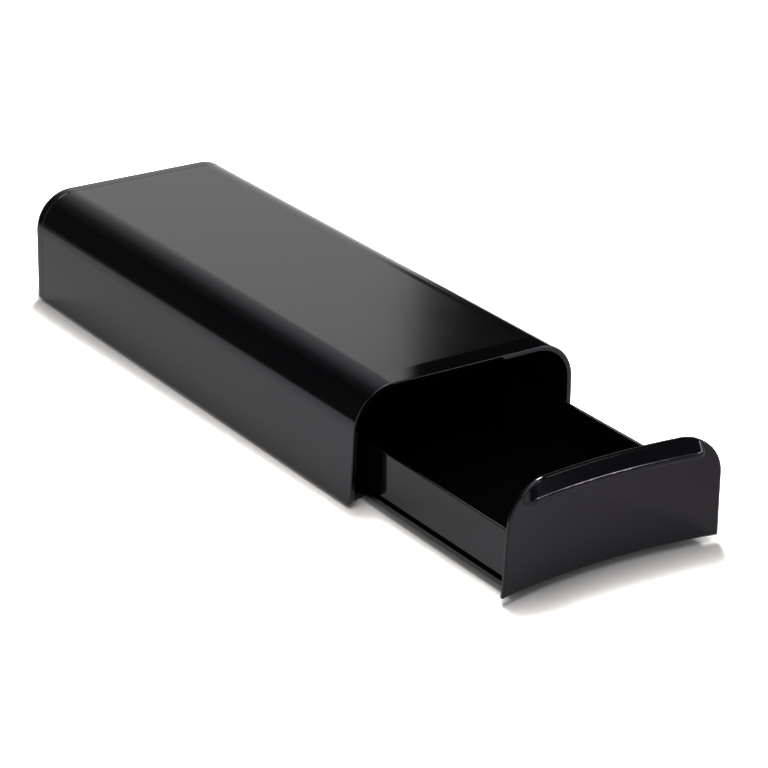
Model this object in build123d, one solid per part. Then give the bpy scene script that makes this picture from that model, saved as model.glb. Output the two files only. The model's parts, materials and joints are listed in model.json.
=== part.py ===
from build123d import *
import math
import os

# Countertop drawer box for coffee pods: a moulded housing with one sliding drawer.
# Millimetres. The origin is on the table at the centre of the housing's footprint.
# +Z is up, the drawer opens towards -Y and +X is to its right as seen from the front.
# The drawer is modelled pulled part of the way out, which is its rest position.

# Housing: outside sizes
HOUSING_WIDTH = 130.0  # across the foot of the side walls
HOUSING_HEIGHT = 61.5  # from the foot of the walls to the flat top
HOUSING_LENGTH = 330.0  # along the foot
WALL = 2.5
SIDE_DRAFT = 1.7  # degrees, the walls lean in towards the top
FRONT_LEAN = 3.0  # degrees, the mouth leans out towards the top
REAR_LEAN = 1.4  # degrees, the back leans out towards the top
SHOULDER_RADIUS = 22.0
FOOT_EDGE_RADIUS = 2.0
TOE_RADIUS = 7.0  # lower front corner of each side wall, seen from the side
RIM_STRIP_WIDTH = 12.5  # strip of the top that falls away a little towards the mouth
RIM_STRIP_DROP = 0.065
RIM_ROUND = 0.5  # outer edge of the mouth

# Rear cap
CAP_DEPTH = 6.0  # visible skirt, from the seam to the back
CAP_ROUND = 2.0  # around the back
HEEL_RADIUS = 5.5  # lower rear corner, seen from the side
SEAM_CHAMFER = 0.25
SPIGOT_WALL = 1.6
SPIGOT_LENGTH = 5.0
SPIGOT_FOOT = 18.0  # height of the spigot's lower ends above the table
SPIGOT_FIT = 0.1

# Base plate and feet
BASE_THICKNESS = 2.6
BASE_SETBACK = 4.0  # from the closed drawer front's back to the plate's front edge
BOND_GAP = 0.1  # glue line between bonded pieces
FOOT_DIAMETER = 14.0
FOOT_THICKNESS = 1.5
FOOT_PROUD = 0.5
FOOT_CLEARANCE = 0.2
FOOT_SIDE_INSET = 20.0  # foot centre from the side of the housing
FOOT_END_INSET = 26.0  # foot centre from either end of the housing

# Drawer front
DRAWER_BASE_GAP = 0.7  # from the base plate to the lower edges of the front and the tray
FRONT_GAP = 1.15  # to the housing at each side
FRONT_TOP_GAP = 1.5
FRONT_THICKNESS = 2.2
FRONT_SET_BACK = 6.4  # how far the middle lies behind the ends
FRONT_EDGE_ROUND = 0.6
FRONT_SHOULDER_EASE = 2.5  # how much larger its shoulder radius is than the mouth's
LIP_MARGIN = 8.15  # from the side of the front to the lip's ends
LIP_END_ROUND = 7.5  # corners of its ends, seen from above
LIP_REACH = 3.6
LIP_THICKNESS = 2.6
LIP_DROP = 7.8  # from the top of the front down to the lip's upper edge
LIP_NOSE = 4.0  # rounding of its upper edge
LIP_ROUND = 0.9  # rounding of its lower edge
LIP_RIM = 0.45  # bare edge of the front around the lip's slope
LIP_STEP = 0.1  # how far the slope's upper edge stands proud of the front

# Drawer tray
TRAY_SIDE_GAP = 8.2  # to the foot of the housing's inner wall
TRAY_WALL = 1.8
TRAY_FLOOR = 2.0
TRAY_FLOOR_LIFT = 1.9  # from the tray's lower edges to the underside of its floor
TRAY_HEIGHT = 27.2  # from under the floor to the top of the walls
TRAY_REAR_GAP = 1.5  # to the rear cap when the drawer is closed
TRAY_ROUND = 0.6
TRAY_CORNER = 1.5  # inside, where the floor meets the walls
SKIRT_HEIGHT = 2.25  # of the tray's edge under the groove
GROOVE_HEIGHT = 3.05
GROOVE_DEPTH = 2.5
DRAWER_OPEN = 122.5  # how far the drawer is out at rest

# Drawer stop
EAR_WIDTH = 4.0
EAR_HEIGHT = 8.0
EAR_LENGTH = 3.0
EAR_FROM_REAR = 70.0
EAR_CLEARANCE = 0.8
STOP_LENGTH = 4.0

# Runners
RUNNER_FRONT = 14.0  # behind the mouth
RUNNER_REAR_GAP = 1.0
RUNNER_GAP = 0.2  # from its tongue up to the roof of the tray's groove
TONGUE_GAP = 0.7  # from the tongue down to the tray's edge under it
RUNNER_SIDE_GAP = 0.6  # beside the tray, and from the tongue to the bottom of the groove

# Screws
SCREW_DIAMETER = 2.2
SCREW_LENGTH = 6.0
SCREW_HEAD_DIAMETER = 4.0
SCREW_HEAD_HEIGHT = 1.5
SCREW_RECESS_DIAMETER = 1.6
SCREW_RECESS_DEPTH = 0.8
SCREW_CLEARANCE = 0.1
HEAD_CLEARANCE = 0.2
RUNNER_SCREWS = 3
RUNNER_SCREW_INSET = 22.0  # end screws from the runner's ends
TAB_WIDTH = 9.0
TAB_THICKNESS = 2.0
BOSS_DIAMETER = 5.4
BOSS_LENGTH = 6.0
BOSS_ROWS = (8.0, 18.0)  # screw heights above the tray floor

# Levels and places that follow from the sizes above
FOOT_LEVEL = FOOT_PROUD
HOUSING_TOP = FOOT_LEVEL + HOUSING_HEIGHT
BASE_TOP = FOOT_LEVEL + BASE_THICKNESS
MOUTH_Y = -HOUSING_LENGTH / 2
REAR_Y = HOUSING_LENGTH / 2
SEAM_Y = REAR_Y - CAP_DEPTH
DRAFT_SLOPE = math.tan(math.radians(SIDE_DRAFT))
LEAN_SLOPE = math.tan(math.radians(FRONT_LEAN))
REAR_SLOPE = math.tan(math.radians(REAR_LEAN))

DRAWER_BOTTOM = BASE_TOP + DRAWER_BASE_GAP
FRONT_TOP = HOUSING_TOP - WALL - FRONT_TOP_GAP
FRONT_HALF = HOUSING_WIDTH / 2 - WALL - FRONT_GAP
FRONT_SHOULDER = SHOULDER_RADIUS - WALL + FRONT_SHOULDER_EASE
FRONT_RADIUS = (FRONT_HALF**2 + FRONT_SET_BACK**2) / (2 * FRONT_SET_BACK)
DRAWER_Y = MOUTH_Y - DRAWER_OPEN
FRONT_AXIS_CLOSED = MOUTH_Y + FRONT_SET_BACK - FRONT_RADIUS
FRONT_AXIS_Y = FRONT_AXIS_CLOSED - DRAWER_OPEN
LIP_TOP = FRONT_TOP - LIP_DROP

FLOOR_BOTTOM = DRAWER_BOTTOM + TRAY_FLOOR_LIFT
FLOOR_TOP = FLOOR_BOTTOM + TRAY_FLOOR
TRAY_TOP = FLOOR_BOTTOM + TRAY_HEIGHT
TRAY_REAR = REAR_Y - WALL - TRAY_REAR_GAP - DRAWER_OPEN
TRAY_HALF = HOUSING_WIDTH / 2 - WALL - TRAY_SIDE_GAP
GROOVE_BOTTOM = DRAWER_BOTTOM + SKIRT_HEIGHT
GROOVE_TOP = GROOVE_BOTTOM + GROOVE_HEIGHT
GROOVE_HALF = TRAY_HALF - GROOVE_DEPTH
FLOOR_HALF = GROOVE_HALF - TRAY_WALL
LEDGE_TOP = GROOVE_TOP + TRAY_WALL

RUNNER_Y = MOUTH_Y + RUNNER_FRONT
RUNNER_END = SEAM_Y - RUNNER_REAR_GAP
RUNNER_INNER = TRAY_HALF + RUNNER_SIDE_GAP
RUNNER_TOP = GROOVE_TOP - RUNNER_GAP
TONGUE_INNER = GROOVE_HALF + RUNNER_SIDE_GAP
TONGUE_BOTTOM = GROOVE_BOTTOM + TONGUE_GAP
EAR_BOTTOM = RUNNER_TOP + EAR_CLEARANCE
EAR_TOP = EAR_BOTTOM + EAR_HEIGHT
RUNNER_SCREW_X = (RUNNER_INNER + HOUSING_WIDTH / 2 - WALL) / 2
TAB_OUTER = TRAY_HALF - TRAY_WALL
BOSS_X = TAB_OUTER - TAB_WIDTH / 2
SCREW_RADIUS = SCREW_DIAMETER / 2
HOLE_RADIUS = SCREW_RADIUS + SCREW_CLEARANCE
HEAD_HOLE_RADIUS = SCREW_HEAD_DIAMETER / 2 + HEAD_CLEARANCE

OVERLAP = 1.0  # how far a cutting shape runs past what it cuts
BEYOND = 20.0  # the same for shapes that are trimmed later
NEAR = 1e-3  # how closely an edge has to match its place


def cuboid(x, y, z):
    """A box from three (low, high) pairs."""
    sizes = [high - low for low, high in (x, y, z)]
    centre = [(low + high) / 2 for low, high in (x, y, z)]
    return Pos(*centre) * Box(*sizes)


def half_width(z, inset):
    """Half the housing's width at a height, moved in from the outside by an inset."""
    return HOUSING_WIDTH / 2 - (z - FOOT_LEVEL) * DRAFT_SLOPE - inset


def arch(bottom, top, inset, shoulder):
    """An outline seen from the front: sides that follow the housing's, and two round shoulders."""
    low, high = half_width(bottom, inset), half_width(top, inset)
    outline = Polygon((-low, bottom), (low, bottom), (high, top), (-high, top), align=None)
    return fillet(outline.vertices().group_by(Axis.Y)[-1], shoulder)


def section(inset, bottom):
    """The housing's outline moved in from the outside and cut off at a height."""
    return arch(bottom, HOUSING_TOP - inset, inset, SHOULDER_RADIUS - inset)


def outside():
    """The housing's outline with its rounded foot edges."""
    outline = section(0, FOOT_LEVEL)
    return fillet(outline.vertices().group_by(Axis.Y)[0], FOOT_EDGE_RADIUS)


def lengthwise(outline, start, end):
    """An outline seen from the front, carried along Y."""
    return Pos(0, start, 0) * extrude(Plane.XZ * outline, end - start, dir=(0, 1, 0))


def crosswise(outline, half):
    """An outline seen from the side, carried along X to both sides."""
    return extrude(Plane.YZ * outline, half, both=True)


def around_front(outline, axis_y, reach):
    """An outline of (distance from the axis, height), turned about the drawer front's upright axis."""
    turn = math.degrees(math.asin(reach / FRONT_RADIUS)) + OVERLAP
    body = revolve(Plane.YZ * outline, Axis.Z, revolution_arc=2 * turn)
    return Pos(0, axis_y, 0) * Rot(0, 0, -turn) * body


def front_face(z):
    """Distance of the drawer front's outer face from its axis at a height."""
    return FRONT_RADIUS - (z - FOOT_LEVEL) * LEAN_SLOPE


def ahead_of_front(offset):
    """Everything on the user's side of a surface at an offset behind the drawer front's outer face."""
    low, high = FOOT_LEVEL - BEYOND, HOUSING_TOP + BEYOND
    inner = front_face(high) - FRONT_SET_BACK - 2 * BEYOND
    side = Polygon(
        (inner, low),
        (front_face(low) + offset, low),
        (front_face(high) + offset, high),
        (inner, high),
        align=None,
    )
    return around_front(side, FRONT_AXIS_Y, HOUSING_WIDTH / 2 + BEYOND)


def upright_pin(x, y, radius, bottom, top):
    return Pos(x, y, bottom) * Cylinder(radius, top - bottom, align=(Align.CENTER, Align.CENTER, Align.MIN))


def lengthwise_pin(x, z, radius, start, end):
    pin = Cylinder(radius, end - start, align=(Align.CENTER, Align.CENTER, Align.MIN))
    return Pos(x, start, z) * Rot(-90, 0, 0) * pin


def corner_cut(corner_y, outwards, lean, radius):
    """What to take off to round a lower corner of the housing, seen from the side."""
    lean = math.radians(lean)
    centre_y = corner_y - outwards * radius * (1 - math.sin(lean)) / math.cos(lean)
    centre_z = FOOT_LEVEL + radius
    far = radius + BEYOND
    block = Polygon(
        (centre_y, centre_z),
        (centre_y + outwards * far * math.cos(lean), centre_z - far * math.sin(lean)),
        (centre_y + outwards * far, centre_z - far),
        (centre_y, centre_z - far),
        align=None,
    )
    return crosswise(block - Pos(centre_y, centre_z) * Circle(radius), HOUSING_WIDTH)


def edges_at(shape, axis, place):
    """Edges that lie wholly at one place along an axis."""
    return shape.edges().filter_by_position(axis, place - NEAR, place + NEAR)


# Housing


def housing_shell():
    """Top and both sides in one wall, open below, in front and behind."""
    body = lengthwise(outside(), MOUTH_Y - BEYOND, SEAM_Y)
    body = chamfer(edges_at(body, Axis.Y, SEAM_Y), SEAM_CHAMFER)
    low, high = FOOT_LEVEL - OVERLAP, HOUSING_TOP - RIM_STRIP_DROP
    mouth_top = MOUTH_Y - (high - FOOT_LEVEL) * LEAN_SLOPE
    side = Polygon(
        (MOUTH_Y + OVERLAP * LEAN_SLOPE, low),
        (SEAM_Y + OVERLAP, low),
        (SEAM_Y + OVERLAP, HOUSING_TOP + RIM_STRIP_DROP),
        (mouth_top + 2 * RIM_STRIP_WIDTH, HOUSING_TOP + RIM_STRIP_DROP),
        (mouth_top, high),
        align=None,
    )
    body &= crosswise(side, HOUSING_WIDTH)
    body = fillet(body.faces().filter_by(GeomType.PLANE).sort_by(Axis.Y)[0].edges(), RIM_ROUND)
    body -= corner_cut(MOUTH_Y, -1, FRONT_LEAN, TOE_RADIUS)
    return body - lengthwise(section(WALL, FOOT_LEVEL - OVERLAP), MOUTH_Y - BEYOND, SEAM_Y + OVERLAP)


def rear_cap():
    """Back wall with a short skirt, and a spigot that plugs into the shell."""
    inside = WALL + SPIGOT_FIT + SPIGOT_WALL
    body = lengthwise(outside(), SEAM_Y, REAR_Y + BEYOND)
    low, high = FOOT_LEVEL - OVERLAP, HOUSING_TOP + OVERLAP
    back = Polygon(
        (SEAM_Y - OVERLAP, low),
        (REAR_Y - OVERLAP * REAR_SLOPE, low),
        (REAR_Y + (high - FOOT_LEVEL) * REAR_SLOPE, high),
        (SEAM_Y - OVERLAP, high),
        align=None,
    )
    body &= crosswise(back, HOUSING_WIDTH)
    body = fillet(body.faces().sort_by(Axis.Y)[-1].edges(), CAP_ROUND)
    body -= corner_cut(REAR_Y, 1, REAR_LEAN, HEEL_RADIUS)
    body = chamfer(body.faces().sort_by(Axis.Y)[0].edges(), SEAM_CHAMFER)
    spigot = lengthwise(section(WALL + SPIGOT_FIT, SPIGOT_FOOT), SEAM_Y - SPIGOT_LENGTH, SEAM_Y + OVERLAP)
    body += spigot
    return body - lengthwise(section(inside, BASE_TOP), SEAM_Y - BEYOND, REAR_Y - WALL)


def runner_screw_places():
    """(x, y) of the screws that hold both runners to the base plate."""
    first, last = RUNNER_Y + RUNNER_SCREW_INSET, RUNNER_END - RUNNER_SCREW_INSET
    step = (last - first) / (RUNNER_SCREWS - 1)
    return [(side * RUNNER_SCREW_X, first + step * i) for side in (-1, 1) for i in range(RUNNER_SCREWS)]


def foot_places():
    """Name and (x, y) of each foot."""
    across = HOUSING_WIDTH / 2 - FOOT_SIDE_INSET
    along = HOUSING_LENGTH / 2 - FOOT_END_INSET
    ends = {"front": -along, "rear": along}
    sides = {"left": -across, "right": across}
    return {f"foot_{end}_{side}": (x, y) for end, y in ends.items() for side, x in sides.items()}


def base_plate():
    """Flat plate between the side walls, its front edge curved like the drawer front."""
    level = FOOT_LEVEL
    plate = lengthwise(section(WALL + BOND_GAP, level), MOUTH_Y, SEAM_Y - BOND_GAP)
    plate -= cuboid((-HOUSING_WIDTH, HOUSING_WIDTH), (MOUTH_Y - OVERLAP, SEAM_Y), (BASE_TOP, HOUSING_TOP))
    edge = FRONT_RADIUS + FRONT_THICKNESS + BASE_SETBACK
    plate -= upright_pin(0, FRONT_AXIS_CLOSED, edge, level - OVERLAP, BASE_TOP + OVERLAP)
    for x, y in runner_screw_places():
        plate -= upright_pin(x, y, HOLE_RADIUS, level - OVERLAP, BASE_TOP + OVERLAP)
        plate -= upright_pin(x, y, HEAD_HOLE_RADIUS, level - OVERLAP, level + SCREW_HEAD_HEIGHT)
    for x, y in foot_places().values():
        pocket = FOOT_DIAMETER / 2 + FOOT_CLEARANCE
        plate -= upright_pin(x, y, pocket, level - OVERLAP, FOOT_THICKNESS)
    return plate


def foot(x, y):
    """Soft round pad, seated in a pocket under the base plate."""
    pad = upright_pin(x, y, FOOT_DIAMETER / 2, 0, FOOT_THICKNESS)
    return fillet(edges_at(pad, Axis.Z, 0), FOOT_PROUD / 2)


def runner(side):
    """Rail whose tongue carries the tray by its groove, with the drawer stop at its front end."""
    inner, outer = RUNNER_INNER, HOUSING_WIDTH / 2
    rail = cuboid((inner, outer), (RUNNER_Y, RUNNER_END), (BASE_TOP, RUNNER_TOP))
    tongue = cuboid((TONGUE_INNER, outer), (RUNNER_Y, RUNNER_END), (TONGUE_BOTTOM, RUNNER_TOP))
    stop = cuboid((inner, outer), (RUNNER_Y, RUNNER_Y + STOP_LENGTH), (BASE_TOP, EAR_TOP))
    space = section(WALL + BOND_GAP, BASE_TOP - OVERLAP)
    body = (rail + tongue + stop) & lengthwise(space, RUNNER_Y - OVERLAP, RUNNER_END + OVERLAP)
    body = body if side > 0 else mirror(body, Plane.YZ)
    for x, y in runner_screw_places():
        tip = FOOT_LEVEL + SCREW_HEAD_HEIGHT + SCREW_LENGTH + SCREW_CLEARANCE
        body -= upright_pin(x, y, HOLE_RADIUS, BASE_TOP - OVERLAP, tip)
    return body


def screw():
    """Pan-head screw, its head's underside at the origin and its shank along +Z."""
    head = upright_pin(0, 0, SCREW_HEAD_DIAMETER / 2, -SCREW_HEAD_HEIGHT, 0)
    head = fillet(edges_at(head, Axis.Z, -SCREW_HEAD_HEIGHT), SCREW_HEAD_HEIGHT / 2)
    drive = upright_pin(0, 0, SCREW_RECESS_DIAMETER / 2, -SCREW_HEAD_HEIGHT - OVERLAP,
                        SCREW_RECESS_DEPTH - SCREW_HEAD_HEIGHT)
    shank = upright_pin(0, 0, SCREW_RADIUS, -SCREW_HEAD_HEIGHT / 4, SCREW_LENGTH)
    shank = chamfer(edges_at(shank, Axis.Z, SCREW_LENGTH), SCREW_RADIUS / 2)
    return head - drive + shank


def runner_screws():
    seat = FOOT_LEVEL + SCREW_HEAD_HEIGHT
    return Compound(children=[Pos(x, y, seat) * screw() for x, y in runner_screw_places()])


# Drawer


def tab_y():
    """Front of the tray's corner tabs: the bosses' length behind the drawer front."""
    back = front_face(FLOOR_TOP) + FRONT_THICKNESS
    return FRONT_AXIS_Y + math.sqrt(back**2 - BOSS_X**2) + BOSS_LENGTH


def front_screw_places():
    """(x, z) of the screws that hold the drawer front to the tray."""
    return [(side * BOSS_X, FLOOR_TOP + height) for side in (-1, 1) for height in BOSS_ROWS]


def lip_plan():
    """The pull lip from above: a front edge curved like the panel, and rounded ends."""
    half = FRONT_HALF - LIP_MARGIN
    reach = Pos(0, FRONT_AXIS_Y) * Circle(front_face(LIP_TOP) - LIP_REACH)
    plan = Pos(0, DRAWER_Y) * Rectangle(2 * half, 2 * BEYOND) - reach
    return fillet(plan.vertices().group_by(Axis.Y)[0], LIP_END_ROUND)


def pull_lip():
    """A slope that falls from the top edge, and round both ends, to a blunt rounded lip."""
    under = LIP_TOP - LIP_THICKNESS
    height = FRONT_TOP - LIP_RIM - LIP_TOP
    fall = LIP_REACH - LIP_STEP - height * LEAN_SLOPE
    slope = math.degrees(math.atan(fall / height))
    body = Pos(0, 0, under) * extrude(lip_plan(), LIP_THICKNESS, dir=(0, 0, 1))
    body += Pos(0, 0, LIP_TOP) * extrude(lip_plan(), height + LIP_RIM, dir=(0, 0, 1), taper=slope)
    for level, radius in ((LIP_TOP, LIP_NOSE), (under, LIP_ROUND)):
        body = fillet(edges_at(body, Axis.Z, level).sort_by(Axis.Y)[0], radius)
    outline = arch(DRAWER_BOTTOM, FRONT_TOP - LIP_RIM, WALL + FRONT_GAP + LIP_RIM, FRONT_SHOULDER - LIP_RIM)
    body &= lengthwise(outline, DRAWER_Y - BEYOND, DRAWER_Y + BEYOND)
    return body & ahead_of_front(FRONT_THICKNESS / 2)


def drawer_front():
    """Concave front panel with its pull lip, and the bosses behind it."""
    low, high = DRAWER_BOTTOM - OVERLAP, FRONT_TOP + OVERLAP
    wall = Polygon(
        (front_face(low), low),
        (front_face(low) + FRONT_THICKNESS, low),
        (front_face(high) + FRONT_THICKNESS, high),
        (front_face(high), high),
        align=None,
    )
    outline = arch(DRAWER_BOTTOM, FRONT_TOP, WALL + FRONT_GAP, FRONT_SHOULDER)
    panel = around_front(wall, FRONT_AXIS_Y, FRONT_HALF + BEYOND)
    panel &= lengthwise(outline, DRAWER_Y - BEYOND, DRAWER_Y + BEYOND)
    broad = panel.faces().sort_by(SortBy.AREA)[-2:]
    panel = fillet([edge for face in broad for edge in face.edges()], FRONT_EDGE_ROUND)
    bosses = [lengthwise_pin(x, z, BOSS_DIAMETER / 2, DRAWER_Y - BEYOND, tab_y() - BOND_GAP)
              for x, z in front_screw_places()]
    tip = tab_y() + TAB_THICKNESS - SCREW_LENGTH - SCREW_CLEARANCE
    holes = [lengthwise_pin(x, z, HOLE_RADIUS, tip, tab_y()) for x, z in front_screw_places()]
    bosses = Compound(children=bosses) - ahead_of_front(FRONT_THICKNESS / 2)
    return panel + pull_lip() + bosses - holes


def drawer_tray():
    """Open tray with low walls, a groove along each side and two corner tabs for the front."""
    start, rear = DRAWER_Y - BEYOND, TRAY_REAR
    along = (start - OVERLAP, rear + OVERLAP)
    inside = (start - OVERLAP, rear - TRAY_WALL)
    wide, narrow = TRAY_HALF - TRAY_WALL, FLOOR_HALF
    body = cuboid((-TRAY_HALF, TRAY_HALF), (start, rear), (DRAWER_BOTTOM, TRAY_TOP))
    body -= cuboid((-narrow, narrow), along, (DRAWER_BOTTOM - OVERLAP, FLOOR_BOTTOM))
    body -= cuboid((-wide, wide), inside, (LEDGE_TOP, TRAY_TOP + OVERLAP))
    hollow = cuboid((-narrow, narrow), inside, (FLOOR_TOP, LEDGE_TOP + OVERLAP))
    low_edges = [edge for edge in edges_at(hollow, Axis.Z, FLOOR_TOP) if edge.center().Y > start]
    body -= fillet(low_edges, TRAY_CORNER)
    ledges = [edge for edge in edges_at(body, Axis.Z, LEDGE_TOP) if abs(edge.center().X) < narrow + NEAR]
    body = fillet(edges_at(body, Axis.Z, TRAY_TOP) + ledges, TRAY_ROUND)
    for side in (-1, 1):
        edges = sorted((side * (TRAY_HALF - TRAY_WALL / 2), side * (TRAY_HALF + EAR_WIDTH)))
        ear_y = (rear - EAR_FROM_REAR, rear - EAR_FROM_REAR + EAR_LENGTH)
        body += cuboid(edges, ear_y, (EAR_BOTTOM, EAR_TOP))
        edges = sorted((side * (TRAY_HALF - TRAY_WALL / 2), side * (TAB_OUTER - TAB_WIDTH)))
        tab_z = (FLOOR_TOP - TRAY_FLOOR / 2, FLOOR_TOP + max(BOSS_ROWS) + BOSS_DIAMETER)
        body += cuboid(edges, (tab_y(), tab_y() + TAB_THICKNESS), tab_z)
        edges = sorted((side * GROOVE_HALF, side * (TRAY_HALF + OVERLAP)))
        body -= cuboid(edges, along, (GROOVE_BOTTOM, GROOVE_TOP))
    for x, z in front_screw_places():
        body -= lengthwise_pin(x, z, HOLE_RADIUS, tab_y() - OVERLAP, tab_y() + TAB_THICKNESS + OVERLAP)
    return body - ahead_of_front(FRONT_THICKNESS + BOND_GAP)


def front_screws():
    seat = tab_y() + TAB_THICKNESS
    return Compound(children=[Pos(x, seat, z) * Rot(90, 0, 0) * screw() for x, z in front_screw_places()])


pieces = {
    "housing_shell": housing_shell(),
    "rear_cap": rear_cap(),
    "base_plate": base_plate(),
    "runner_left": runner(-1),
    "runner_right": runner(1),
    "runner_screws": runner_screws(),
    "drawer_front": drawer_front(),
    "drawer_tray": drawer_tray(),
    "front_screws": front_screws(),
}
pieces.update({name: foot(x, y) for name, (x, y) in foot_places().items()})

os.makedirs("parts", exist_ok=True)
for name, piece in pieces.items():
    export_step(piece, f"parts/{name}.step")
    box = piece.bounding_box()
    print(f"{name}: {box.size.X:.1f} x {box.size.Y:.1f} x {box.size.Z:.1f} mm")
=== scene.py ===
# %% [markdown]
# # A coffee pod organizer
#
# The object is a low black box of moulded plastic with round shoulders, open at one end, and a drawer
# that slides out of it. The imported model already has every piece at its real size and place. This lesson
# dresses those pieces: it gives each surface a finish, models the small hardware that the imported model
# keeps plain, and lights it all like a product photograph. Blender works in metres, in the model's own
# frame: +Z is up and the drawer opens towards -Y. Small sizes are written in millimetres, times MM.

import json
import math

import bmesh
import bpy
from mathutils import Matrix, Vector


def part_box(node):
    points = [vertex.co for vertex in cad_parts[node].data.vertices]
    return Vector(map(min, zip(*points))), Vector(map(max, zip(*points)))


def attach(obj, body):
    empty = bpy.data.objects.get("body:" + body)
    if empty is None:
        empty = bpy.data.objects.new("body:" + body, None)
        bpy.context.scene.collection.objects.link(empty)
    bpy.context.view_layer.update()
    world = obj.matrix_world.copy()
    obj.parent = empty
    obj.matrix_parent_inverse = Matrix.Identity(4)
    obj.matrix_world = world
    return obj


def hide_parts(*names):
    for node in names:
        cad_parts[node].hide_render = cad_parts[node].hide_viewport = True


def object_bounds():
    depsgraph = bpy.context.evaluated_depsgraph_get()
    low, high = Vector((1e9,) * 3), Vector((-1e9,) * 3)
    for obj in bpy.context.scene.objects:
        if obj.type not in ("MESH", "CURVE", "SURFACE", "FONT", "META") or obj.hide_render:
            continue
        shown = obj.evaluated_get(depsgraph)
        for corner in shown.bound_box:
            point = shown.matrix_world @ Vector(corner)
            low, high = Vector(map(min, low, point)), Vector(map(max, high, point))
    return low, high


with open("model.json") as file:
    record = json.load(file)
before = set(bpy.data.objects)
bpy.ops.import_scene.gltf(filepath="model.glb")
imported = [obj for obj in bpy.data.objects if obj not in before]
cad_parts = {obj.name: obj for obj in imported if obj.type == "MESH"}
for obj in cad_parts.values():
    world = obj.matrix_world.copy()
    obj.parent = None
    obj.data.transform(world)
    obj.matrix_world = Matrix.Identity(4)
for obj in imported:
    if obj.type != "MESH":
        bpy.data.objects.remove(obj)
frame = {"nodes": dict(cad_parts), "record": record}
MM = 0.001
nodes = frame["nodes"]
cad_low, cad_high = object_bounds()
print("nodes:", len(nodes), "size in mm:", [round(side / MM, 1) for side in cad_high - cad_low])

# %% [markdown]
# ## Camera
#
# A product photograph of this kind is taken with a long lens from well back, so that the box keeps nearly
# parallel edges. A constraint could aim the camera at the box. Plain angles are used instead, because the
# place, the direction and the lens can then be fitted so that the box's corners fall where a photograph
# has them. The camera looks to the right and down, and is tipped by a fraction of a degree.

# %% Camera
CAMERA_PLACE = Vector((-743.8, -1243.2, 605.7)) * MM
VIEW_AZIMUTH = 32.93  # degrees from +Y towards +X
VIEW_DOWN = 22.98  # degrees below the horizon
VIEW_ROLL = 0.12
LENS_MM = 137.87
SENSOR_MM = 36.0


def add_camera():
    """The scene's camera, turned to its azimuth, then tilted down, then rolled."""
    camera = bpy.data.objects.new("camera", bpy.data.cameras.new("camera"))
    bpy.context.scene.collection.objects.link(camera)
    turn = Matrix.Rotation(math.radians(-VIEW_AZIMUTH), 4, "Z")
    tilt = Matrix.Rotation(math.radians(90 - VIEW_DOWN), 4, "X")
    roll = Matrix.Rotation(math.radians(VIEW_ROLL), 4, "Z")
    camera.matrix_world = Matrix.Translation(CAMERA_PLACE) @ turn @ tilt @ roll
    camera.data.sensor_fit = "HORIZONTAL"
    camera.data.sensor_width = SENSOR_MM
    camera.data.lens = LENS_MM
    bpy.context.scene.camera = camera
    return camera


camera = add_camera()
print("camera:", [round(place, 3) for place in camera.location], "m, lens", LENS_MM, "mm")

# %% [markdown]
# ## Nodes, colours and real sizes
#
# Every finish below is a small node tree. One function adds a node, gives it its settings and links what
# feeds it, so that a tree reads from top to bottom and ends with its shader. A second one turns the
# colours, written as the usual sRGB hex values, into the linear values that a shader works with. A third
# turns a real size in millimetres into a texture's scale: a texture of scale 1 has features about one
# metre across. A last one starts a material with the Object coordinates that its patterns lie on.

# %% Helpers for node trees


def add(tree, kind, inputs=None, **settings):
    """Adds a node, sets its properties, and sets or links its inputs."""
    node = tree.nodes.new(kind)
    for name, value in settings.items():
        setattr(node, name, value)
    for socket, value in (inputs or {}).items():
        if isinstance(value, bpy.types.NodeSocket):
            tree.links.new(value, node.inputs[socket])
        else:
            node.inputs[socket].default_value = value
    return node


def linear(colour):
    """An sRGB hex colour as linear RGBA, by the sRGB standard's own curve."""
    values = [int(colour[i:i + 2], 16) / 255 for i in (1, 3, 5)]
    return (*(v / 12.92 if v <= 0.04045 else ((v + 0.055) / 1.055) ** 2.4 for v in values), 1.0)


def per_metre(size_mm):
    """Texture scale whose features are about this large."""
    return 1 / (size_mm * MM)


def new_material(name):
    """A material with an empty node tree, and the Object coordinates for its patterns."""
    material = bpy.data.materials.new(name)
    material.use_nodes = True
    tree = material.node_tree
    tree.nodes.clear()
    return material, tree, add(tree, "ShaderNodeTexCoord").outputs["Object"]


print("mid grey, linear:", [round(value, 4) for value in linear("#808080")])

# %% [markdown]
# ## Black moulded plastic
#
# The housing and the drawer are injection-moulded in black styrene against polished steel. The pigment
# takes nearly all the light, so what the eye sees is the reflection: dim where the surface faces the
# viewer, bright where it turns away. One colour and one roughness would do, but look too clean. Handling
# leaves faint cloudy patches a few centimetres across in which the gloss is a little lower, and the
# moulded wall is not dead flat, so two noise patterns drive the gloss and a slow bump. The pigment leaves
# a trace of violet in the gloss, which a specular tint gives. The base comes from a blasted mould, whose
# grain is too fine to show, so it is drawn half a millimetre across.
#
# A strip of the housing right behind the mouth is polished brighter than the rest. It could be a material
# of its own, but the housing is one moulding, so its roughness simply drops there.

# %% Polished strip behind the mouth
STRIP_MM = 12.5
STRIP_FADE_MM = 0.3
STRIP_POLISH = 0.035
STRIP_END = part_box("housing_shell")[0].y + STRIP_MM * MM


def strip_polish(tree, place, polish):
    """Roughness that drops in the strip behind the mouth and keeps its own course elsewhere."""
    along = add(tree, "ShaderNodeSeparateXYZ", {"Vector": place}).outputs["Y"]
    behind = add(tree, "ShaderNodeMapRange",
                 {"Value": along, "From Min": STRIP_END, "From Max": STRIP_END + STRIP_FADE_MM * MM})
    mixed = add(tree, "ShaderNodeMix",
                {"Factor": behind.outputs["Result"], "A": STRIP_POLISH, "B": polish})
    return mixed.outputs["Result"]


print("polished strip ends at y =", round(STRIP_END / MM, 1), "mm")

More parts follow.
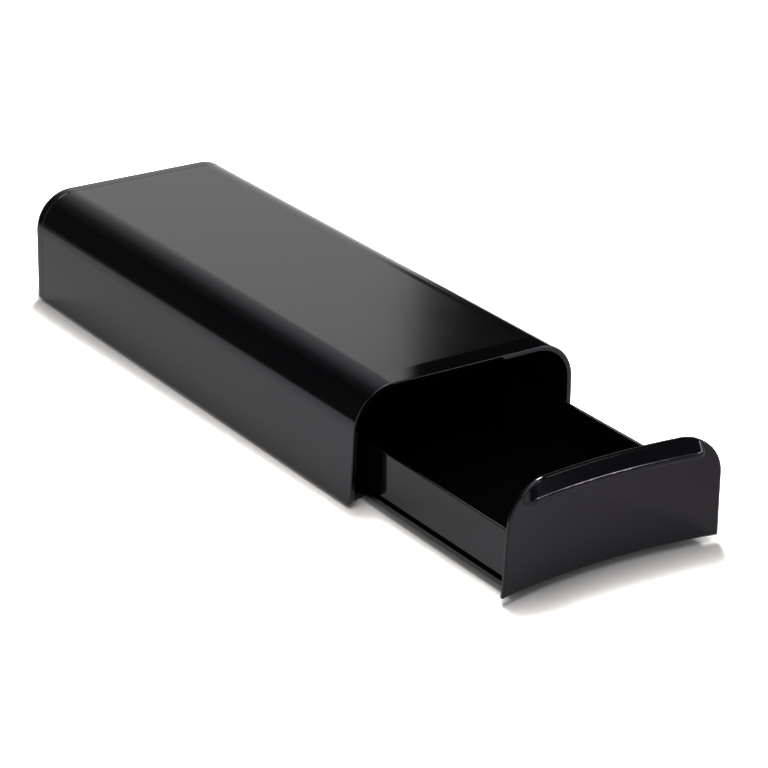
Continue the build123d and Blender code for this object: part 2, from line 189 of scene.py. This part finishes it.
# %% Moulded plastic
GLOSS_TINT = linear("#f9f0ff")
HAZE_MM = 38.0
HAZE_LOW, HAZE_HIGH = 0.3, 0.7  # stretch of the noise over which the gloss goes from bright to dull
WAVE_MM = 55.0
GRAIN_MM = 0.5


def moulded_plastic(name, ior, colours, roughness, wave, grain, strip=False):
    """Plastic whose colour and gloss drift in cloudy patches, over a slow wave and a fine grain in mm."""
    material, tree, place = new_material(name)
    haze = add(tree, "ShaderNodeTexNoise",
               {"Vector": place, "Scale": per_metre(HAZE_MM), "Detail": 4.0,
                "Roughness": 0.55}).outputs["Fac"]
    fresh, faded = (linear(colour) for colour in colours)
    tint = add(tree, "ShaderNodeMix", {"Factor": haze, "A": fresh, "B": faded}, data_type="RGBA")
    bright, dull = roughness
    polish = add(tree, "ShaderNodeMapRange",
                 {"Value": haze, "From Min": HAZE_LOW, "From Max": HAZE_HIGH,
                  "To Min": bright, "To Max": dull}).outputs["Result"]
    swell = add(tree, "ShaderNodeTexNoise",
                {"Vector": place, "Scale": per_metre(WAVE_MM), "Detail": 1.0})
    rolling = add(tree, "ShaderNodeBump",
                  {"Height": swell.outputs["Fac"], "Strength": 1.0, "Distance": wave * MM})
    speck = add(tree, "ShaderNodeTexNoise",
                {"Vector": place, "Scale": per_metre(GRAIN_MM), "Detail": 2.0})
    surface = add(tree, "ShaderNodeBump",
                  {"Height": speck.outputs["Fac"], "Strength": 1.0, "Distance": grain * MM,
                   "Normal": rolling.outputs["Normal"]})
    shader = add(tree, "ShaderNodeBsdfPrincipled",
                 {"Base Color": tint.outputs["Result"], "IOR": ior, "Specular Tint": GLOSS_TINT,
                  "Roughness": strip_polish(tree, place, polish) if strip else polish,
                  "Normal": surface.outputs["Normal"]})
    add(tree, "ShaderNodeOutputMaterial", {"Surface": shader.outputs["BSDF"]})
    return material


print("haze patches of", HAZE_MM, "mm: texture scale", round(per_metre(HAZE_MM), 1))

# %% [markdown]
# ## The four plastics
#
# The housing's styrene reflects a little more than the drawer's, and the drawer's polish is a little
# finer, so its lines are sharper. The base plate is the same styrene with a matt grain. The runners are
# acetal, the slippery plastic of gears and slides, with its usual waxy half-gloss.

# %% The four plastics
HOUSING_IOR = 1.55
DRAWER_IOR = 1.50

housing_plastic = moulded_plastic("gloss_black_styrene_housing", HOUSING_IOR, ("#060507", "#080709"),
                                  roughness=(0.09, 0.11), wave=0.003, grain=0.0, strip=True)
drawer_plastic = moulded_plastic("gloss_black_styrene_drawer", DRAWER_IOR, ("#070608", "#09080a"),
                                 roughness=(0.07, 0.09), wave=0.003, grain=0.0)
base_plastic = moulded_plastic("matt_black_styrene_base", HOUSING_IOR, ("#121213", "#171718"),
                               roughness=(0.42, 0.52), wave=0.004, grain=0.006)
runner_plastic = moulded_plastic("black_acetal_runner", DRAWER_IOR, ("#141415", "#1a1a1b"),
                                 roughness=(0.30, 0.40), wave=0.002, grain=0.002)
print("plastics:", [m.name for m in (housing_plastic, drawer_plastic, base_plastic, runner_plastic)])

# %% [markdown]
# ## Rubber
#
# The foot pads are die-cut rubber, matt and a little dusty: a soft grey bloom lies over the black. Plain
# dark grey would pass from afar. The bloom and the pores are small noise patterns, so that the pads also
# hold up close by.

# %% Rubber
BLOOM_MM = 2.5
PORES_MM = 0.3
PORES_DEPTH_MM = 0.02
RUBBER_ROUGHNESS = 0.85
RUBBER_IOR = 1.52


def foot_rubber_material():
    """Matt black rubber under a grey bloom, with fine pores."""
    material, tree, place = new_material("black_rubber_pad")
    bloom = add(tree, "ShaderNodeTexNoise",
                {"Vector": place, "Scale": per_metre(BLOOM_MM), "Detail": 3.0})
    tint = add(tree, "ShaderNodeMix",
               {"Factor": bloom.outputs["Fac"], "A": linear("#1b1b1b"), "B": linear("#2c2c2b")},
               data_type="RGBA")
    pores = add(tree, "ShaderNodeTexNoise",
                {"Vector": place, "Scale": per_metre(PORES_MM), "Detail": 2.0})
    relief = add(tree, "ShaderNodeBump",
                 {"Height": pores.outputs["Fac"], "Strength": 1.0, "Distance": PORES_DEPTH_MM * MM})
    shader = add(tree, "ShaderNodeBsdfPrincipled",
                 {"Base Color": tint.outputs["Result"], "Roughness": RUBBER_ROUGHNESS, "IOR": RUBBER_IOR,
                  "Normal": relief.outputs["Normal"]})
    add(tree, "ShaderNodeOutputMaterial", {"Surface": shader.outputs["BSDF"]})
    return material


foot_rubber = foot_rubber_material()
print("rubber:", foot_rubber.name)

# %% [markdown]
# ## Zinc-plated steel
#
# The screws are steel with a bright zinc plating, whose thin passivated layer is blotchy at close range.
# One noise pattern drives both its colour, from bluish to yellowish, and its polish, as they change
# together on real plating.

# %% Zinc-plated steel
BLOTCH_MM = 0.8
ZINC_BRIGHT, ZINC_DULL = 0.22, 0.42  # roughness


def screw_steel_material():
    """Bright metal with blotches of colour and polish."""
    material, tree, place = new_material("zinc_plated_steel")
    blotch = add(tree, "ShaderNodeTexNoise",
                 {"Vector": place, "Scale": per_metre(BLOTCH_MM), "Detail": 3.0})
    tint = add(tree, "ShaderNodeMix",
               {"Factor": blotch.outputs["Fac"], "A": linear("#b9bcc0"), "B": linear("#d6d4cc")},
               data_type="RGBA")
    polish = add(tree, "ShaderNodeMapRange",
                 {"Value": blotch.outputs["Fac"], "To Min": ZINC_BRIGHT, "To Max": ZINC_DULL})
    shader = add(tree, "ShaderNodeBsdfPrincipled",
                 {"Base Color": tint.outputs["Result"], "Metallic": 1.0,
                  "Roughness": polish.outputs["Result"]})
    add(tree, "ShaderNodeOutputMaterial", {"Surface": shader.outputs["BSDF"]})
    return material


screw_steel = screw_steel_material()
print("steel:", screw_steel.name)

# %% [markdown]
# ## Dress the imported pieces
#
# The shells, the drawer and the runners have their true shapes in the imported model, down to the rounded
# rim, the seam and the pull lip. They could be modelled again, but would gain nothing, so they stay as
# they are and only get their finish, by the name of the material slot that the record gives each of them.

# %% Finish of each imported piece
FINISHES = {
    "housing_plastic": housing_plastic,
    "drawer_plastic": drawer_plastic,
    "base_plastic": base_plastic,
    "runner_plastic": runner_plastic,
    "foot_rubber": foot_rubber,
    "screw_steel": screw_steel,
}


def dress(piece, slot):
    """Gives a piece the finish of a material slot."""
    piece.data.materials.clear()
    piece.data.materials.append(FINISHES[slot])


for subpart in frame["record"]["subparts"]:
    dress(nodes[subpart["node"]], subpart["material_slot"])

# %% [markdown]
# ## Making a piece
#
# New pieces are modelled in a bmesh. A finished piece sits at the origin with its place in its mesh, rides
# on one of the two bodies, and gets the finish of a material slot. Smooth shading is kept to the
# gently curved edges, so that real corners stay crisp. Both kinds of small hardware are round, so a
# second helper turns a shape from its profile, as a lathe does, and a third repeats a shape.

# %% Helper that turns a bmesh into a piece
SMOOTH_BELOW = 35  # degrees between faces
MERGE_DISTANCE = 1e-6  # metres


def make_piece(name, shape, body, slot):
    """A finished piece from a bmesh, riding on a body."""
    bmesh.ops.remove_doubles(shape, verts=shape.verts, dist=MERGE_DISTANCE)
    bmesh.ops.recalc_face_normals(shape, faces=shape.faces)
    mesh = bpy.data.meshes.new(name)
    shape.to_mesh(mesh)
    shape.free()
    mesh.shade_smooth()
    mesh.set_sharp_from_angle(angle=math.radians(SMOOTH_BELOW))
    piece = bpy.data.objects.new(name, mesh)
    bpy.context.scene.collection.objects.link(piece)
    dress(piece, slot)
    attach(piece, body)
    return piece


print("edges under", SMOOTH_BELOW, "degrees are shaded smooth")

# %% Helpers for turned and repeated shapes


def turned(points, steps):
    """A shape turned about Z from a profile of (radius, height) points in millimetres."""
    shape = bmesh.new()
    corners = [shape.verts.new((radius * MM, 0, height * MM)) for radius, height in points]
    edges = [shape.edges.new(pair) for pair in zip(corners, corners[1:])]
    bmesh.ops.spin(shape, geom=corners + edges, cent=(0, 0, 0), axis=(0, 0, 1), angle=2 * math.pi,
                   steps=steps, use_merge=True, use_duplicate=False)
    bmesh.ops.remove_doubles(shape, verts=shape.verts, dist=MERGE_DISTANCE)
    return shape


def copies(shape, places):
    """The shape repeated at each of a list of transforms."""
    mesh = bpy.data.meshes.new("pattern")
    shape.to_mesh(mesh)
    whole = bmesh.new()
    for place in places:
        start = len(whole.verts)
        whole.from_mesh(mesh)
        whole.verts.ensure_lookup_table()
        bmesh.ops.transform(whole, matrix=place, verts=whole.verts[start:])
    bpy.data.meshes.remove(mesh)
    return whole


print("points closer than", round(MERGE_DISTANCE / MM, 6), "mm are merged")

# %% [markdown]
# ## Foot pads
#
# The box stands on four round rubber pads, pressed into pockets under the base plate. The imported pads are
# plain discs. A real one is moulded with rings, so that it grips, and its edge is rounded. Rings could be
# cut into the disc one by one. A turned profile gives them all at once: two ridges and a rim, with
# shallow grooves between them.

# %% Foot pads
PAD_GROOVE = 0.3
PAD_RINGS = ((1.2, 2.4), (3.6, 4.8))  # inner and outer radius of each ridge
PAD_RIM = 1.2
PAD_EDGE = 0.4
PAD_EDGE_STEPS = 4
PAD_STEPS = 64


def pad_profile(radius, height):
    """Half section of a pad in millimetres, from the middle of its foot out and up to its top."""
    profile = [(0, PAD_GROOVE)]
    slope = PAD_GROOVE / 2
    for inner, outer in PAD_RINGS:
        profile += [(inner - slope, PAD_GROOVE), (inner + slope, 0)]
        profile += [(outer - slope, 0), (outer + slope, PAD_GROOVE)]
    rim = radius - PAD_RIM
    profile += [(rim - PAD_GROOVE, PAD_GROOVE), (rim, 0)]
    for step in range(PAD_EDGE_STEPS + 1):
        angle = math.radians(90 * step / PAD_EDGE_STEPS)
        profile.append((radius - PAD_EDGE + PAD_EDGE * math.sin(angle),
                        PAD_EDGE - PAD_EDGE * math.cos(angle)))
    return profile + [(radius, height), (0, height)]


def foot_pad(node):
    """A ringed pad in the place of a packed one."""
    low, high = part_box(node)
    shape = turned(pad_profile((high.x - low.x) / 2 / MM, (high.z - low.z) / MM), PAD_STEPS)
    bmesh.ops.translate(shape, verts=shape.verts, vec=((low.x + high.x) / 2, (low.y + high.y) / 2, low.z))
    pad = make_piece("ringed_" + node, shape, "housing", "foot_rubber")
    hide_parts(node)
    return pad


pads = [foot_pad(name) for name in sorted(nodes) if name.startswith("foot_")]
print("foot pads:", [pad.name for pad in pads])

# %% [markdown]
# ## Screws
#
# Six small pan-head screws hold the runners to the base plate, and four hold the drawer front to the
# tray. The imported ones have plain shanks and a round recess. Here the head is turned from a domed
# profile, a cross recess is cut into it by a boolean, and a thread is wound round the shank. A bump could
# fake the thread, but its edge would stay smooth. A real ridge is as easy: a small triangle, spun about
# the axis while it climbs by one pitch a turn. All the screw's sizes are in millimetres.

# %% Head and shank
HEAD_RADIUS = 2.0
HEAD_HEIGHT = 1.5
HEAD_SKIRT = 0.35  # share of the head's height below its dome
HEAD_DRAFT = 0.1
HEAD_STEPS = 40
DOME_STEPS = 8
SHANK_RADIUS = 0.8
SHANK_LENGTH = 6.0
POINT_LENGTH = 0.9
POINT_RADIUS = SHANK_RADIUS / 3


def screw_body():
    """Domed head below the origin, plain shank above it."""
    angles = [math.radians(90 * step / DOME_STEPS) for step in range(DOME_STEPS + 1)]
    dome = [(HEAD_RADIUS * math.sin(angle),
             -HEAD_HEIGHT * (HEAD_SKIRT + (1 - HEAD_SKIRT) * math.cos(angle))) for angle in angles]
    shank = [(HEAD_RADIUS - HEAD_DRAFT, 0), (SHANK_RADIUS, 0), (SHANK_RADIUS, SHANK_LENGTH - POINT_LENGTH),
             (POINT_RADIUS, SHANK_LENGTH), (0, SHANK_LENGTH)]
    return turned(dome + shank, HEAD_STEPS)


print("screw head:", 2 * HEAD_RADIUS, "mm across, shank", SHANK_LENGTH, "mm long")

# %% Cross recess
CROSS_SPAN = 2.3
CROSS_WIDTH = 0.55
CROSS_DEPTH = 0.95
CROSS_TAPER = 0.55  # share of the span that is left at the bottom


def cross_cutter():
    """Two crossed tapering blades that sink into the head."""
    shape = bmesh.new()
    for degrees in (0, 90):
        blade = bmesh.ops.create_cube(shape, size=1)["verts"]
        for corner in blade:
            taper = CROSS_TAPER if corner.co.z > 0 else 1
            corner.co = Vector((corner.co.x * CROSS_SPAN * taper, corner.co.y * CROSS_WIDTH,
                                corner.co.z * 2 * CROSS_DEPTH - HEAD_HEIGHT)) * MM
        turn = Matrix.Rotation(math.radians(degrees), 3, "Z")
        bmesh.ops.rotate(shape, verts=blade, cent=(0, 0, 0), matrix=turn)
    return shape


print("cross recess:", CROSS_SPAN, "mm across,", CROSS_DEPTH, "mm deep")

# %% Thread
THREAD_RADIUS = 1.08
THREAD_PITCH = 0.8
THREAD_HALF = THREAD_PITCH * 0.3
THREAD_SINK = 0.06
THREAD_START = 0.5
THREAD_TURNS = int((SHANK_LENGTH - POINT_LENGTH - THREAD_START) / THREAD_PITCH)
THREAD_STEPS = 24  # in each turn


def thread():
    """A triangular ridge that climbs round the shank, from below the head to the point."""
    shape = bmesh.new()
    root = SHANK_RADIUS - THREAD_SINK
    outline = [(root, THREAD_START - THREAD_HALF), (THREAD_RADIUS, THREAD_START),
               (root, THREAD_START + THREAD_HALF)]
    corners = [shape.verts.new((radius * MM, 0, height * MM)) for radius, height in outline]
    face = shape.faces.new(corners)
    bmesh.ops.spin(shape, geom=[face, *face.edges, *face.verts], cent=(0, 0, 0), axis=(0, 0, 1),
                   angle=2 * math.pi * THREAD_TURNS, steps=THREAD_STEPS * THREAD_TURNS,
                   dvec=(0, 0, THREAD_PITCH / THREAD_STEPS * MM), use_merge=False, use_duplicate=False)
    return shape


print("thread:", THREAD_TURNS, "turns of", THREAD_PITCH, "mm")

# %% One screw


def one_screw():
    """Head with its recess cut, and the thread joined to the shank."""
    body = bpy.data.objects.new("screw_blank", bpy.data.meshes.new("screw_blank"))
    cutter = bpy.data.objects.new("screw_cross", bpy.data.meshes.new("screw_cross"))
    for target, shape in ((body, screw_body()), (cutter, cross_cutter())):
        bmesh.ops.recalc_face_normals(shape, faces=shape.faces)
        shape.to_mesh(target.data)
        shape.free()
        bpy.context.scene.collection.objects.link(target)
    cut = body.modifiers.new("recess", "BOOLEAN")
    cut.operation = "DIFFERENCE"
    cut.object = cutter
    cut.use_self = True
    finished = bpy.data.meshes.new_from_object(body.evaluated_get(bpy.context.evaluated_depsgraph_get()))
    shape = thread()
    shape.from_mesh(finished)
    for leftover in (body, cutter):
        bpy.data.objects.remove(leftover)
    bpy.data.meshes.remove(finished)
    return shape


screw = one_screw()
print("one screw:", len(screw.verts), "vertices")

# %% [markdown]
# ## Where the screws go
#
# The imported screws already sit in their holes. The box round each set gives the places: the outer heads
# touch its sides, so the axes lie one head's radius further in, and the heads' undersides one head's
# height from the end.

# %% Runner screws


def screw_set(name, node, places, body):
    """Detailed screws at each place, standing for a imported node."""
    screws = make_piece(name, copies(screw, places), body, "screw_steel")
    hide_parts(node)
    return screws


def runner_screw_places():
    """Upright screws in two rows of three, found from the box round them."""
    low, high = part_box("runner_screws")
    inset = Vector((HEAD_RADIUS, HEAD_RADIUS, 0)) * MM
    first, last = low + inset, high - inset
    rows = [first.y, (first.y + last.y) / 2, last.y]
    seat = low.z + HEAD_HEIGHT * MM
    return [Matrix.Translation((x, y, seat)) for x in (first.x, last.x) for y in rows]


runner_screws = screw_set("cross_head_runner_screws", "runner_screws", runner_screw_places(), "housing")
print("runner screws:", len(runner_screws.data.polygons), "faces")

# %% Front screws


def front_screw_places():
    """Level screws, one above the other on each side, their heads towards the back of the drawer."""
    low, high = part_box("front_screws")
    inset = Vector((HEAD_RADIUS, 0, HEAD_RADIUS)) * MM
    first, last = low + inset, high - inset
    seat = high.y - HEAD_HEIGHT * MM
    lay = Matrix.Rotation(math.radians(90), 4, "X")
    return [Matrix.Translation((x, seat, z)) @ lay for x in (first.x, last.x) for z in (first.z, last.z)]


front_screws = screw_set("cross_head_front_screws", "front_screws", front_screw_places(), "drawer")
screw.free()
print("front screws:", len(front_screws.data.polygons), "faces")

# %% [markdown]
# ## Floor
#
# The box stands on white paper, which brightens its upright walls. A plane without end would do for the
# floor alone, but the shoulders of the box would mirror it right up to the horizon and lose their dark
# band. So the floor is a disc as large as a table, and the paper goes on as part of the surroundings.

# %% Floor
FLOOR_RADIUS = 0.5
FLOOR_SEGMENTS = 96
FLOOR_GAP_MM = 0.02  # under the feet
FIBRE_MM = 3.0
PAPER_ROUGHNESS = 0.9
PAPER_GLOSS = 0.1


def white_paper():
    """Matt white paper with a faint drift of tone."""
    material, tree, place = new_material("white_paper_sweep")
    fibre = add(tree, "ShaderNodeTexNoise",
                {"Vector": place, "Scale": per_metre(FIBRE_MM), "Detail": 3.0})
    tint = add(tree, "ShaderNodeMix",
               {"Factor": fibre.outputs["Fac"], "A": linear("#f0efee"), "B": linear("#f4f3f2")},
               data_type="RGBA")
    shader = add(tree, "ShaderNodeBsdfPrincipled",
                 {"Base Color": tint.outputs["Result"], "Roughness": PAPER_ROUGHNESS,
                  "Specular IOR Level": PAPER_GLOSS})
    add(tree, "ShaderNodeOutputMaterial", {"Surface": shader.outputs["BSDF"]})
    return material


def add_floor():
    """A disc of paper under the middle of the box."""
    shape = bmesh.new()
    bmesh.ops.create_circle(shape, cap_ends=True, segments=FLOOR_SEGMENTS, radius=FLOOR_RADIUS)
    middle = (cad_low + cad_high) / 2
    bmesh.ops.translate(shape, verts=shape.verts, vec=(middle.x, middle.y, cad_low.z - FLOOR_GAP_MM * MM))
    mesh = bpy.data.meshes.new("floor")
    shape.to_mesh(mesh)
    shape.free()
    floor = bpy.data.objects.new("floor", mesh)
    bpy.context.scene.collection.objects.link(floor)
    floor.data.materials.append(white_paper())
    return floor


floor = add_floor()
print("floor:", 2 * FLOOR_RADIUS, "m wide at z =", round(floor.data.vertices[0].co.z / MM, 3), "mm")

# %% [markdown]
# ## Surroundings
#
# A glossy black object is drawn by what it reflects. Reflectors could be planes with lamps behind them,
# but their images on the box would have hard edges, and they would stand in the way of other views. Here
# the studio is a world shader that depends on direction alone. It starts dark. Each patch of light is a
# curve of brightness across, times a curve upwards, times a level, and is added to those before it.
# Azimuths run from +Y towards +X, and elevations from the horizon up, both in degrees.

# %% Dark studio
STUDIO_LEVEL = 0.008
ALL_ROUND = (-180.0, 180.0)
FOOT_TO_TOP = (-90.0, 90.0)


def brightness(tree, angle, stops, span):
    """A curve of brightness through (degrees, level) stops, over a span of degrees."""
    low, high = span
    share = add(tree, "ShaderNodeMapRange",
                {"Value": angle, "From Min": math.radians(low), "From Max": math.radians(high)})
    node = add(tree, "ShaderNodeValToRGB", {"Fac": share.outputs["Result"]})
    for i, (degrees, level) in enumerate(stops):
        place = (degrees - low) / (high - low)
        stop = node.color_ramp.elements[i] if i < 2 else node.color_ramp.elements.new(place)
        stop.position = place
        stop.color = (level, level, level, 1)
    return node.outputs["Color"]


def add_patch(tree, before, level, across, upwards):
    """The light so far and a patch of light: its two curves, times its level."""
    patch = add(tree, "ShaderNodeMath", {0: across, 1: upwards}, operation="MULTIPLY")
    total = add(tree, "ShaderNodeMath", {0: patch.outputs["Value"], 1: level, 2: before},
                operation="MULTIPLY_ADD")
    return total.outputs["Value"]


world = bpy.data.worlds.new("studio")
bpy.context.scene.world = world
world.use_nodes = True
studio = world.node_tree
studio.nodes.clear()
towards = add(studio, "ShaderNodeTexCoord").outputs["Generated"]
way = add(studio, "ShaderNodeSeparateXYZ", {"Vector": towards}).outputs
azimuth = add(studio, "ShaderNodeMath", {0: way["X"], 1: way["Y"]}, operation="ARCTAN2").outputs["Value"]
elevation = add(studio, "ShaderNodeMath", {0: way["Z"]}, operation="ARCSINE").outputs["Value"]
print("dark studio:", STUDIO_LEVEL)

# %% [markdown]
# ## Backdrop
#
# Behind the box, a little to the right, stands a bright backdrop that ends at a clean edge, and the flat
# top mirrors it: that is the long grey sheen, with its sudden fall to black near the mouth. The edge
# leans outwards towards its foot, so the far shoulder still catches it. To lean it, the azimuth is
# lessened by an angle that grows towards the foot.

# %% Backdrop
BACKDROP_LEVEL = 0.81
BACKDROP_SPAN = (-40.0, 40.0)
BACKDROP_ACROSS = ((-20.0, 0.03), (-5.0, 0.19), (8.0, 0.64), (18.0, 0.9), (26.0, 1.0),
                   (33.4, 1.0), (33.7, 0.0))
BACKDROP_UPWARDS = ((0.0, 1.0), (22.0, 1.0), (25.0, 0.74), (29.0, 0.58), (33.0, 0.52), (39.0, 0.5),
                    (55.0, 0.0))
EDGE_TOP = 21.3  # elevation below which the edge leans
EDGE_FOOT = 5.3
EDGE_LEAN = 5.4

lean = add(studio, "ShaderNodeMapRange",
           {"Value": elevation, "From Min": math.radians(EDGE_TOP), "From Max": math.radians(EDGE_FOOT),
            "To Max": math.radians(EDGE_LEAN)}).outputs["Result"]
upright = add(studio, "ShaderNodeMath", {0: azimuth, 1: lean}, operation="SUBTRACT").outputs["Value"]
light = add_patch(studio, STUDIO_LEVEL, BACKDROP_LEVEL,
                  brightness(studio, upright, BACKDROP_ACROSS, BACKDROP_SPAN),
                  brightness(studio, elevation, BACKDROP_UPWARDS, FOOT_TO_TOP))
print("backdrop:", BACKDROP_LEVEL, "as far as", BACKDROP_ACROSS[-1][0], "degrees to the right")

# %% [markdown]
# ## Reflectors, strip light and paper
#
# Broad reflectors to the left and right keep the shadows open, and a faint glow in front grades the
# drawer front from one end to the other. A low strip light in front of the box draws a bright line along
# the pull lip. It stays close to the horizon, so the slope above the lip doesn't mirror it and stays
# dark. Below the horizon the paper goes on from the floor's rim and fades as it rises, so the shoulders
# between top and sides mirror a soft dark band.

# %% Reflectors
FILL_LEVEL = 0.8
FILL_ACROSS = ((-170.0, 0.0), (-145.0, 1.0), (-85.0, 1.0), (-62.0, 0.0), (52.0, 0.0), (68.0, 0.5),
               (98.0, 0.5), (114.0, 0.025), (131.0, 0.03), (145.0, 0.05), (151.0, 0.07), (163.0, 0.1),
               (172.0, 0.1), (180.0, 0.05))
FILL_UPWARDS = ((0.0, 1.0), (38.0, 1.0), (62.0, 0.0))

light = add_patch(studio, light, FILL_LEVEL,
                  brightness(studio, azimuth, FILL_ACROSS, ALL_ROUND),
                  brightness(studio, elevation, FILL_UPWARDS, FOOT_TO_TOP))
print("reflectors:", FILL_LEVEL, "up to", FILL_UPWARDS[-1][0], "degrees")

# %% Strip light in front
FRONT_LEVEL = 10.0
FRONT_ACROSS = ((110.0, 0.0), (118.0, 0.6), (130.0, 0.6), (138.0, 1.0), (147.0, 1.0), (153.0, 0.2),
                (158.0, 0.08), (166.0, 0.05), (180.0, 0.0))
FRONT_UPWARDS = ((-1.0, 0.0), (0.5, 1.0), (7.0, 1.0), (8.5, 0.0))

light = add_patch(studio, light, FRONT_LEVEL,
                  brightness(studio, azimuth, FRONT_ACROSS, ALL_ROUND),
                  brightness(studio, elevation, FRONT_UPWARDS, FOOT_TO_TOP))
print("strip light:", FRONT_LEVEL, "up to", FRONT_UPWARDS[-1][0], "degrees")

# %% Paper beyond the floor
SWEEP_LEVEL = 0.5
SWEEP_UPWARDS = ((-15.0, 1.0), (-11.0, 0.75), (-7.0, 0.35), (-2.0, 0.0))

light = add_patch(studio, light, SWEEP_LEVEL, 1.0,
                  brightness(studio, elevation, SWEEP_UPWARDS, FOOT_TO_TOP))
glow = add(studio, "ShaderNodeBackground", {"Color": (1, 1, 1, 1), "Strength": light})
add(studio, "ShaderNodeOutputWorld", {"Surface": glow.outputs["Background"]})
print("surroundings:", world.name, "with", len(studio.nodes), "nodes")

# %% [markdown]
# ## Overhead lamp
#
# A long soft lamp overhead lights the floor and gives the box its contact shadow. A round lamp would do
# too. A strip that lies along the line of sight spreads the light over more of the floor, and it hangs
# high enough that the flat top doesn't mirror it.

# %% Overhead lamp
LAMP_PLACE = Vector((0.10, 0.08, 0.78))
LAMP_WIDTH = 0.2
LAMP_LENGTH = 1.7
LAMP_WATTS = 6.0


def add_lamp():
    """A long softbox that looks straight down."""
    lamp = bpy.data.objects.new("overhead_softbox", bpy.data.lights.new("overhead_softbox", "AREA"))
    bpy.context.scene.collection.objects.link(lamp)
    lamp.location = LAMP_PLACE
    lamp.rotation_euler.z = math.radians(-VIEW_AZIMUTH)
    lamp.data.shape = "RECTANGLE"
    lamp.data.size = LAMP_WIDTH
    lamp.data.size_y = LAMP_LENGTH
    lamp.data.energy = LAMP_WATTS
    return lamp


lamp = add_lamp()
print("lamp:", LAMP_WATTS, "W from", LAMP_WIDTH, "by", LAMP_LENGTH, "m")

# %% [markdown]
# ## White paper
#
# A product photograph is developed so that the paper comes out white. More light would whiten it too, but
# would grey the black box. A tone curve does it alone: it leaves everything darker than the paper's soft
# shadows as it is, and lifts the lit paper to white.

# %% Tone curve
CURVE_STRAIGHT = 0.22
CURVE_WHITE = 0.42
ALL_CHANNELS = 3  # place of the curve that acts on red, green and blue together


def develop():
    """Sets the view's tone curve: straight in the dark, white from the lit paper on."""
    view = bpy.context.scene.view_settings
    view.view_transform = "Standard"
    view.use_curve_mapping = True
    curve = view.curve_mapping.curves[ALL_CHANNELS]
    curve.points[1].location = (CURVE_WHITE, 1.0)
    for level in (CURVE_STRAIGHT / 2, CURVE_STRAIGHT):
        curve.points.new(level, level)
    view.curve_mapping.update()
    return curve


curve = develop()
print("tone curve:", [[round(value, 3) for value in point.location] for point in curve.points])

# %% [markdown]
#
# Last, the view layer is brought up to date.

bpy.context.view_layer.update()
